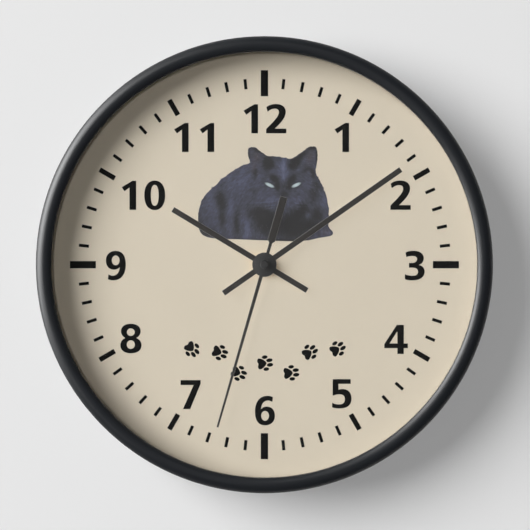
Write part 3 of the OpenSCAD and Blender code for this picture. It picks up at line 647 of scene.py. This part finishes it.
# Soft patches of the fur: x, z, half width, half height, turn in degrees, change of tone
FUR_PATCHES = [
    (10.9, 55.0, 2.4, 5.5, 0, 0.34), (10.9, 49.5, 1.0, 2.8, 0, 0.2),
    (5.6, 48.4, 3.0, 1.9, -32, -0.62), (15.6, 48.2, 3.0, 1.9, 32, -0.62),
    (7.3, 43.9, 1.5, 2.4, 0, -0.5), (14.2, 43.8, 1.5, 2.4, 0, -0.5),
    (10.9, 43.6, 2.6, 2.4, 0, -0.2), (10.9, 39.4, 3.2, 2.0, 0, -0.42),
    (2.4, 57.2, 3.2, 3.8, 20, -0.72), (17.0, 57.0, 2.6, 4.2, -50, -0.72),
    (20.8, 61.2, 1.3, 4.2, -55, -0.4), (-3.5, 64.2, 5.5, 1.2, -22, -0.35),
    (-8.8, 61.5, 0.9, 3.6, 0, -0.3), (26.6, 65.6, 3.6, 1.0, 8, -0.35),
    (29.5, 60.5, 0.8, 5.0, 0, -0.35),
    (-5.2, 51.2, 1.4, 3.8, -8, -0.36), (27.2, 51.6, 1.5, 4.2, 8, -0.36),
    (23.2, 53.4, 3.4, 1.4, 30, -0.28), (-5.9, 42.0, 1.8, 2.0, 0, -0.14),
    (4.6, 36.6, 4.2, 2.2, 0, 0.14), (17.8, 36.2, 3.4, 2.2, 0, 0.14),
    (-1.6, 28.4, 7.4, 3.8, -12, -0.6), (1.8, 22.0, 6.8, 5.6, 0, -0.56),
    (16.2, 21.6, 7.8, 7.0, 0, -0.74), (20.8, 29.4, 4.8, 2.8, 30, -0.55),
    (21.6, 33.8, 4.0, 2.4, 20, -0.22), (27.6, 38.4, 3.0, 4.4, 0, -0.2),
    (-24.2, 36.0, 2.8, 6.0, 8, -0.46), (-23.9, 26.0, 2.0, 5.6, 0, -0.3),
    (-15.6, 22.6, 1.7, 7.0, 4, -0.4), (-13.6, 47.4, 9.0, 5.0, 25, 0.13),
    (-30.6, 34.0, 3.4, 7.4, 12, 0.1), (-9.7, 19.4, 2.0, 6.4, 0, 0.3),
    (-18.8, 30.8, 2.0, 8.4, 0, 0.14), (29.0, 42.8, 2.8, 5.4, -12, -0.2),
    (33.4, 36.2, 2.4, 5.0, -12, 0.12), (29.6, 28.2, 3.4, 3.6, 0, -0.44),
    (24.4, 28.4, 2.2, 2.0, 20, 0.2), (26.4, 22.6, 4.2, 2.6, 10, -0.42),
    (34.6, 18.4, 4.2, 2.0, -10, 0.1),
    (-33.6, 17.4, 5.0, 1.6, -20, -0.3), (-36.8, 23.0, 1.4, 4.4, 0, -0.2),
    (0.0, 13.6, 40.0, 0.9, 0, -0.3),
]
# Warm parts, such as the insides of the ears: x, z, half width, half height, turn, weight
WARM_PATCHES = [
    (-4.4, 60.4, 2.4, 3.8, 15, 0.8), (-5.8, 54.6, 1.5, 3.6, 0, 0.6),
    (25.6, 60.6, 2.4, 4.2, -15, 0.8), (34.4, 18.6, 4.0, 2.2, 0, 0.5),
]
# Whiskers as x, z of their roots and of their tips
WHISKERS = [
    (6.4, 35.6, -8.6, 34.4), (5.8, 33.5, -8.0, 32.3), (5.0, 32.2, -5.5, 29.6),
    (17.6, 34.6, 28.0, 33.6), (18.4, 32.5, 27.2, 32.9), (18.0, 31.2, 25.4, 29.4),
]
# Eyes as x, z and the turn in degrees, with their half length and half height
EYES = [(2.9, 44.75, -25), (17.9, 44.8, 25)]
EYE_SIZE = (2.75, 0.95)
# Larger tufts that stand out of the outline: x, z and length
TUFTS = [(-24.0, 47.6, 0.7), (-29.0, 42.9, 1.1), (33.0, 43.0, 0.5)]


def front_loop(node):
    """The outline of a printed node's front face, in order, as (x, z) in millimetres."""
    bm = bmesh.new()
    bm.from_mesh(frame["nodes"][node].data)
    bmesh.ops.remove_doubles(bm, verts=bm.verts, dist=1e-7)
    front = min(v.co.y for v in bm.verts)
    rim = [
        e for e in bm.edges
        if e.is_manifold and e.calc_face_angle() > 1
        and max(v.co.y for v in e.verts) - front < 1e-6
    ]
    ahead = {}
    for edge in rim:
        for vert in edge.verts:
            ahead.setdefault(vert, []).append(edge)
    start = rim[0].verts[0]
    vert, edge, loop = start, rim[0], []
    while not loop or vert is not start:
        loop.append(((vert.co.x - SHAFT.x) / MM, (vert.co.z - SHAFT.z) / MM))
        vert = edge.other_vert(vert)
        edge = next(e for e in ahead[vert] if e is not edge)
    bm.free()
    return np.array(loop)


def cut_corners(loop, times):
    """Smooths a closed outline by cutting its corners."""
    for _ in range(times):
        after = np.roll(loop, -1, axis=0)
        loop = np.stack([0.75 * loop + 0.25 * after, 0.25 * loop + 0.75 * after], 1).reshape(-1, 2)
    return loop


def furry(loop, rng):
    """Lets small tufts stand out of the outline, except near its foot."""
    step = np.roll(loop, -1, axis=0) - np.roll(loop, 1, axis=0)
    out = np.stack([step[:, 1], -step[:, 0]], 1)
    out /= np.linalg.norm(out, axis=1, keepdims=True)
    centre = loop.mean(0)
    if np.mean(np.sum(out * (loop - centre), 1)) < 0:
        out = -out
    lengths = rng.uniform(*TUFT_RANGE, len(loop) // TUFT_POINTS + 1)
    tuft = np.repeat(lengths, TUFT_POINTS)[: len(loop)]
    tuft *= np.clip((loop[:, 1] - FOOT_Z) / FOOT_FADE, 0, 1)
    for x, z, size in TUFTS:
        near = np.linalg.norm(loop - (x, z), axis=1)
        tuft += size * np.clip(1 - near / TUFT_W, 0, 1)
    return loop + out * tuft[:, None]


def inside(points, loop):
    """Which points lie in a closed outline."""
    x, z = points[:, :1], points[:, 1:]
    x0, z0 = loop[:, 0], loop[:, 1]
    x1, z1 = np.roll(x0, -1), np.roll(z0, -1)
    spans = (z0 > z) != (z1 > z)
    crossing = x0 + (z - z0) * (x1 - x0) / np.where(z1 == z0, 1e-9, z1 - z0)
    return (spans & (x < crossing)).sum(1) % 2 == 1


def fur_points(loop):
    """Points inside the outline: an even net, and a finer one round the eyes."""
    nets = []
    boxes = [(loop.min(0), loop.max(0), FUR_STEP)]
    for x, z, _ in EYES:
        eye = np.array([x, z])
        boxes.append((eye - EYE_NET, eye + EYE_NET, FACE_STEP))
    for low, high, step in boxes:
        rows = np.arange(low[1], high[1], step * ROW_STEP)
        cols = np.arange(low[0], high[0], step)
        x, z = np.meshgrid(cols, rows)
        x = x + (np.arange(len(rows)) % 2)[:, None] * step / 2
        nets.append(np.stack([x.ravel(), z.ravel()], 1))
    fine = np.concatenate(nets[1:])
    coarse = nets[0]
    for low, high, _ in boxes[1:]:
        held = (coarse > low - NET_MARGIN) & (coarse < high + NET_MARGIN)
        coarse = coarse[~np.all(held, axis=1)]
    points = np.concatenate([coarse, fine])
    points = points[inside(points, loop)]
    gap = np.min(np.linalg.norm(points[:, None] - loop[None, ::2], axis=2), axis=1)
    return points[gap > OUTLINE_GAP]


def spot(points, x, z, half_w, half_h, turn, power=1.0):
    """A soft oval: 1 at its middle, about 0.3 at its edge."""
    a = math.radians(turn)
    u = (points[:, 0] - x) * math.cos(a) + (points[:, 1] - z) * math.sin(a)
    v = (points[:, 1] - z) * math.cos(a) - (points[:, 0] - x) * math.sin(a)
    return np.exp(-1.2 * ((u / half_w) ** 2 + (v / half_h) ** 2) ** power)


def lie_of_fur(points):
    """Direction of the hairs: out from the nose on the face, back and down on the body."""
    from_nose = points - NOSE
    near = np.exp(-np.sum(from_nose ** 2, 1) / NOSE_REACH_SQUARED)[:, None]
    body = points - HEAD
    body = body / (np.linalg.norm(body, axis=1, keepdims=True) + 1e-6) + DOWNWARD
    face = from_nose / (np.linalg.norm(from_nose, axis=1, keepdims=True) + 1e-6)
    way = near * face + (1 - near) * body
    return way / (np.linalg.norm(way, axis=1, keepdims=True) + 1e-6)


def hairs(points, cell, reach, rng):
    """Random tones drawn out along the lie of the fur, with a spread of 1."""
    size = 400
    steps = 10
    lattice = rng.normal(size=(size, size))

    def sample(at):
        u, v = (at / cell).T + size / 2
        i, j = np.floor(u).astype(int), np.floor(v).astype(int)
        s, t = u - i, v - j
        i, j = i % (size - 1), j % (size - 1)
        low = lattice[i, j] * (1 - s) + lattice[i + 1, j] * s
        high = lattice[i, j + 1] * (1 - s) + lattice[i + 1, j + 1] * s
        return low * (1 - t) + high * t

    total = sample(points)
    for sign in (1, -1):
        at = points.copy()
        for _ in range(steps):
            at = at + sign * lie_of_fur(at) * reach / steps
            total += sample(at)
    return total / total.std()


def whisker_tone(points):
    """The whiskers: 1 at their roots, and fainter towards their tips."""
    tone = np.zeros(len(points))
    for x0, z0, x1, z1 in WHISKERS:
        root, span = np.array([x0, z0]), np.array([x1 - x0, z1 - z0])
        along = np.clip((points - root) @ span / (span @ span), 0, 1)
        away = np.linalg.norm(points - root - along[:, None] * span, axis=1)
        tone = np.maximum(tone, np.exp(-((away / WHISKER_W) ** 2)) * (1 - 0.7 * along))
    return tone


def fur_colours(points, rng):
    """The picture's colour at each point: patches, hairs, whiskers and eyes."""
    tone = FUR_TONE
    for strength, cell, reach in (BROAD_HAIRS, FINE_HAIRS):
        tone = tone + strength * hairs(points, cell, reach, rng)
    for x, z, half_w, half_h, turn, change in FUR_PATCHES:
        tone += change * spot(points, x, z, half_w, half_h, turn)
    tone += WHISKER_GAIN * whisker_tone(points)
    stops = [srgb("1b1a1b"), srgb("29282c"), srgb("434350"), srgb("575a70"), srgb("6d7189")]
    levels = np.linspace(0, 1, len(stops))
    tone = np.clip(tone, 0.02, 1)
    colour = np.stack([np.interp(tone, levels, [s[k] for s in stops]) for k in range(3)], 1)
    for x, z, half_w, half_h, turn, weight in WARM_PATCHES:
        warm = weight * spot(points, x, z, half_w, half_h, turn)[:, None]
        level = colour.mean(1, keepdims=True)
        colour = colour * (1 - warm) + warm * level * (1.12, 0.92, 1.08)
    for x, z, turn in EYES:
        lid = spot(points, x, z, EYE_SIZE[0] * 1.25, EYE_SIZE[1] * 1.7, turn, 2)[:, None]
        colour = colour * (1 - 0.75 * lid)
        iris = spot(points, x, z, *EYE_SIZE, turn, 3)[:, None]
        middle = spot(points, x, z, 1.4, 0.8, turn)[:, None]
        glow = np.array(srgb("c6d4d6")[:3]) * (0.92 + 0.08 * middle)
        colour = colour * (1 - iris) + glow * iris
    return colour


def cat_picture():
    """The printed cat: a closed thin layer whose net is fine enough to carry its fur."""
    rng = np.random.default_rng(7)
    loop = furry(cut_corners(front_loop("cat_print"), 2), rng)
    points = np.concatenate([loop, fur_points(loop)])
    count = len(loop)
    edges = [(i, (i + 1) % count) for i in range(count)]
    made, _, faces, origins, _, _ = delaunay_2d_cdt(
        [Vector(p) for p in points], edges, [], 1, 1e-6
    )
    rim = {}
    for index, sources in enumerate(origins):
        for source in sources:
            if source < count:
                rim[source] = index
    flat = np.array([tuple(p) for p in made])
    back, front = depth_range("cat_print")
    verts = [on_dial(x * MM, z * MM, front) for x, z in flat]
    under = len(verts)
    verts += [on_dial(*(flat[rim[i]] * MM), back) for i in range(count)]
    sides = [(rim[i], rim[j], under + j, under + i) for i, j in edges]
    mesh = bpy.data.meshes.new("cat_picture")
    mesh.from_pydata(verts, [], [*faces, *sides, list(range(under, under + count))])
    colours = np.ones((len(verts), 4))
    colours[:under, :3] = fur_colours(flat, rng)
    colours[under:] = colours[[rim[i] for i in range(count)]]
    fur = mesh.color_attributes.new("fur", "FLOAT_COLOR", "POINT")
    fur.data.foreach_set("color", colours.astype(np.float32).ravel())
    bm = bmesh.new()
    bm.from_mesh(mesh)
    bpy.data.meshes.remove(mesh)
    place_piece(from_bmesh("cat_picture", bm), "clock", "cat_ink", "cat_print")


# ------------------------------------------------------------------ back and movement


def fixings():
    """Bracket, clips, nut and bush."""
    bracket = rounded_copy("bracket", "hanger_bracket", 0.2 * MM)
    place_piece(bracket, "clock", "zinc_steel", "hanger_bracket")
    clips = rounded_copy("clips", "retaining_clips", 0.15 * MM)
    place_piece(clips, "clock", "zinc_steel", "retaining_clips")
    nut = rounded_copy("nut", "hex_nut", 0.25 * MM)
    place_piece(nut, "clock", "brass", "hex_nut")
    place_piece(bush(), "clock", "brass", "threaded_bush")


def bush():
    """The threaded bush: its thread is a row of ridges, and its flange lies inside the case."""
    low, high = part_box("threaded_bush")
    back, front = -high.y, -low.y
    flange = (high.x - low.x) / 2
    flange_t = 1.2 * MM
    outer, bore = 4 * MM, 2.56 * MM
    pitch, thread = 0.75 * MM, 0.3 * MM
    core = outer - thread
    plain = 0.2 * MM
    profile = [(bore, back), (flange, back), (flange, back + flange_t), (core, back + flange_t)]
    ridges = int((front - back - flange_t - 2 * plain) / pitch)
    for i in range(ridges):
        root = back + flange_t + plain + i * pitch
        profile += [(core, root + 0.1 * pitch), (outer, root + 0.45 * pitch),
                    (outer, root + 0.6 * pitch), (core, root + 0.95 * pitch)]
    profile += [(core, front), (bore, front)]
    return lathe("bush", profile, at_depth(0), segments=64)


def movement_shell():
    """Case, cover and knob with their edges rounded."""
    low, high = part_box("movement_case")
    corner = 3.2 * MM

    def outside(place):
        side = max(abs(place.x - SHAFT.x), abs(place.z - SHAFT.z))
        return side > (high.x - low.x) / 2 - corner

    case = rounded_copy("case", "movement_case", 0.3 * MM, outside)
    place_piece(case, "clock", "case_plastic", "movement_case")
    cover = rounded_copy("cover", "movement_cover", 0.25 * MM, outside)
    place_piece(cover, "clock", "case_plastic", "movement_cover")
    knob = rounded_copy("knob", "setting_knob", 0.12 * MM)
    place_piece(knob, "knob", "case_plastic", "setting_knob")


def cover_marks():
    """Raised marks on the back: a plus and a minus by the battery, and an arrow at the knob."""
    back = depth_range("movement_cover")[0]
    raised, sunk = 0.2 * MM, 0.05 * MM
    depths = (back - raised, back + sunk)
    arm, bar = 2.2 * MM, 0.4 * MM
    edge = 0.08 * MM
    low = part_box("movement_cover")[0]
    row = low.z - SHAFT.z + 4 * MM
    side = 21 * MM

    def cross(x):
        points = [(bar, bar), (bar, arm), (-bar, arm), (-bar, bar)]
        turned = [(c * u - s * v, s * u + c * v) for c, s in [(1, 0), (0, 1), (-1, 0), (0, -1)]
                  for u, v in points[:3]]
        return [(x + u, row + v) for u, v in turned]

    minus = [(side - arm, row - bar), (side + arm, row - bar), (side + arm, row + bar),
             (side - arm, row + bar)]
    marks = plate("polarity_marks", [cross(-side), minus], depths, edge)
    place_piece(marks, "clock", "case_plastic")
    knob = Vector(JOINTS["setting_knob_spin"]["pos_m"]) - SHAFT
    middle = (knob.x, knob.z)
    radius, half, wing = 8.2 * MM, 0.45 * MM, 1.5 * MM
    start, neck, point = 20, 140, 158
    outer = arc(middle, radius + half, start, neck, 24)
    inner = arc(middle, radius - half, neck, start, 24)
    tip = arc(middle, radius, point, point, 0)[0]
    wide = [arc(middle, radius + r, neck, neck, 0)[0] for r in (wing, -wing)]
    arrow = [*outer, wide[0], tip, wide[1], *inner]
    place_piece(plate("setting_arrow", [arrow], depths, edge), "clock", "case_plastic")


def coil():
    """The winding, with a ridge for each turn of its wire."""
    low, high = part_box("coil_winding")
    middle = (low + high) / 2
    radius = (high.z - low.z) / 2
    half = (high.x - low.x) / 2
    bore, wire = 1.85 * MM, 0.4 * MM
    groove = radius - 0.12 * MM
    turns = int(2 * half / wire)
    profile = [(bore, half), (bore, -half)]
    for i in range(turns):
        start = -half + i * wire
        profile += [(groove, start + 0.05 * wire), (radius, start + 0.3 * wire),
                    (radius, start + 0.7 * wire), (groove, start + 0.95 * wire)]
    place_piece(lathe("winding", profile, middle, "X", 48, 60), "clock", "copper", "coil_winding")


def battery():
    """The AA cell: a sleeve with rounded shoulders, a nickel nub and a flat negative end."""
    low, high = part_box("battery_can")
    middle = (low + high) / 2
    radius = (high.z - low.z) / 2
    half = (high.x - low.x) / 2
    shoulder = 0.9 * MM
    heel = 0.35 * MM
    profile = [
        (0, -half),
        *arc((radius - shoulder, -half + shoulder), shoulder, -90, 0, 8),
        *arc((radius - heel, half - heel), heel, 0, 90, 5),
        (0, half),
    ]
    cell = lathe("cell", profile, middle, "X", 96, 40)
    place_piece(cell, "battery", "battery_sleeve", "battery_can")
    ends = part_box("battery_terminals")
    nub_r, nub_edge = 2.75 * MM, 0.3 * MM
    tip, root = ends[0].x - middle.x, low.x - middle.x
    top = arc((nub_r - nub_edge, tip + nub_edge), nub_edge, 0, -90, 5)
    nub = [(0, root), (nub_r, root), *top, (0, tip)]
    end = ends[1].x - middle.x
    disc_r, edge, drop = 5.5 * MM, 0.3 * MM, 0.05 * MM
    disc = [(0, half), (disc_r, half), (disc_r, end - drop), (disc_r - edge, end), (0, end)]
    for name, shape in [("cell_ends", nub), ("cell_heel", disc)]:
        made = lathe(name, shape, middle, "X", 64, 40)
        place_piece(made, "battery", "battery_metal", "battery_terminals")


def contact_spring():
    """The flattened spring round the negative contact's stud."""
    low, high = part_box("battery_can")
    middle = (low + high) / 2
    wire = 0.3 * MM
    contact_t, terminal_t, gap = 0.4 * MM, 0.2 * MM, 0.05 * MM
    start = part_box("negative_contact")[1].x - contact_t - wire
    end = high.x + terminal_t + wire + gap
    wide, narrowing = 3.6, 0.9
    coils = 2.5
    steps = 96
    path = []
    for i in range(steps + 1):
        share = i / steps
        a = 2 * math.pi * coils * share
        radius = (wide - narrowing * share) * MM
        x = start + (end - start) * share
        path.append(Vector((x, middle.y + radius * math.cos(a), middle.z + radius * math.sin(a))))
    place_piece(tube("contact_spring", path, wire), "clock", "contact_metal")


# ------------------------------------------------------------------ stage, light and camera


def backdrop():
    """A pale wall with a round opening behind the clock, and a pale floor well below it."""
    low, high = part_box("frame_ring")
    outer = (high.x - low.x) / 2
    radii = [outer - WALL_LAP, outer * 1.5, outer * 4, WALL_REACH]
    segments = 96
    verts, faces = [], []
    for radius in radii:
        for k in range(segments):
            a = 2 * math.pi * k / segments
            verts.append(on_dial(radius * math.cos(a), radius * math.sin(a), -WALL_GAP))
    for ring_index in range(len(radii) - 1):
        for k in range(segments):
            m = (k + 1) % segments
            here, there = ring_index * segments, (ring_index + 1) * segments
            faces.append((here + k, there + k, there + m, here + m))
    mesh = bpy.data.meshes.new("wall")
    mesh.from_pydata(verts, [], faces)
    if mesh.polygons[0].normal.y > 0:
        mesh.flip_normals()
    wall = link("wall", mesh)
    wall.data.materials.append(wall_paint())
    wall.visible_shadow = False
    far = FLOOR_HALF_W
    corners = [(x, y, FLOOR_Z) for x, y in [(-far, -far), (far, -far), (far, far), (-far, far)]]
    mesh = bpy.data.meshes.new("floor")
    mesh.from_pydata(corners, [], [(0, 1, 2, 3)])
    floor = link("floor", mesh)
    floor.data.materials.append(floor_paint())
    floor.visible_diffuse = False
    floor.visible_glossy = False


def studio_world():
    """Soft light that is weak ahead of the clock, and weakest where the lens mirrors it.

    Its strength follows Y, which runs from straight ahead of the clock at 0 to behind it at 1.
    """
    world = bpy.data.worlds.new("studio")
    world.use_nodes = True
    nodes, links = world.node_tree.nodes, world.node_tree.links
    way = nodes.new("ShaderNodeTexCoord").outputs["Generated"]
    split = nodes.new("ShaderNodeSeparateXYZ")
    links.new(way, split.inputs[0])
    share = nodes.new("ShaderNodeMapRange")
    links.new(split.outputs["Y"], share.inputs["Value"])
    share.inputs["From Min"].default_value = -1
    level = nodes.new("ShaderNodeValToRGB")
    links.new(share.outputs["Result"], level.inputs["Fac"])
    stops = [(0.02, MIRRORED), (0.06, AHEAD), (0.45, AHEAD), (0.6, BEHIND)]
    set_stops(level.color_ramp, [(at, (grey, grey, grey, 1.0)) for at, grey in stops])
    seen = nodes.new("ShaderNodeMix")
    seen.data_type = "RGBA"
    links.new(nodes.new("ShaderNodeLightPath").outputs["Is Camera Ray"], seen.inputs[0])
    links.new(level.outputs["Color"], seen.inputs[6])
    seen.inputs[7].default_value = (IN_VIEW, IN_VIEW, IN_VIEW, 1.0)
    links.new(seen.outputs[2], nodes["Background"].inputs["Color"])
    bpy.context.scene.world = world


def lamp(name, direction, distance, width, power):
    """A round lamp that faces the shaft, and isn't seen itself or through the lens."""
    data = bpy.data.lights.new(name, "AREA")
    data.shape = "DISK"
    data.size = width
    data.energy = power
    obj = bpy.data.objects.new(name, data)
    bpy.context.scene.collection.objects.link(obj)
    obj.location = SHAFT + direction.normalized() * distance
    obj.rotation_euler = direction.to_track_quat("Z", "Y").to_euler()
    obj.visible_camera = False
    obj.visible_transmission = False
    return obj


def lights():
    """A broad key from the upper left, with a weak lamp ahead, one for edges and one behind."""
    lamp("key", *KEY_LAMP)
    lamp("ahead", *AHEAD_LAMP).visible_glossy = False
    lamp("side", *SIDE_LAMP).visible_diffuse = False
    lamp("behind", *BEHIND_LAMP)


def camera():
    """The camera faces the dial squarely, from just beside the shaft's axis."""
    front = depth_range("frame_ring")[1]
    data = bpy.data.cameras.new("camera")
    data.sensor_width = SENSOR_W
    data.lens = FOCAL
    obj = bpy.data.objects.new("camera", data)
    bpy.context.scene.collection.objects.link(obj)
    obj.location = at_depth(front + CAMERA_GAP) + CAMERA_OFFSET
    obj.rotation_euler = (math.pi / 2, 0, 0)
    bpy.context.scene.camera = obj
    bpy.context.scene.view_settings.view_transform = "Standard"


camera()
studio_world()
lights()
backdrop()
dress_nodes()
ring()
hands()
cap()
cat_picture()
fixings()
movement_shell()
cover_marks()
coil()
battery()
contact_spring()
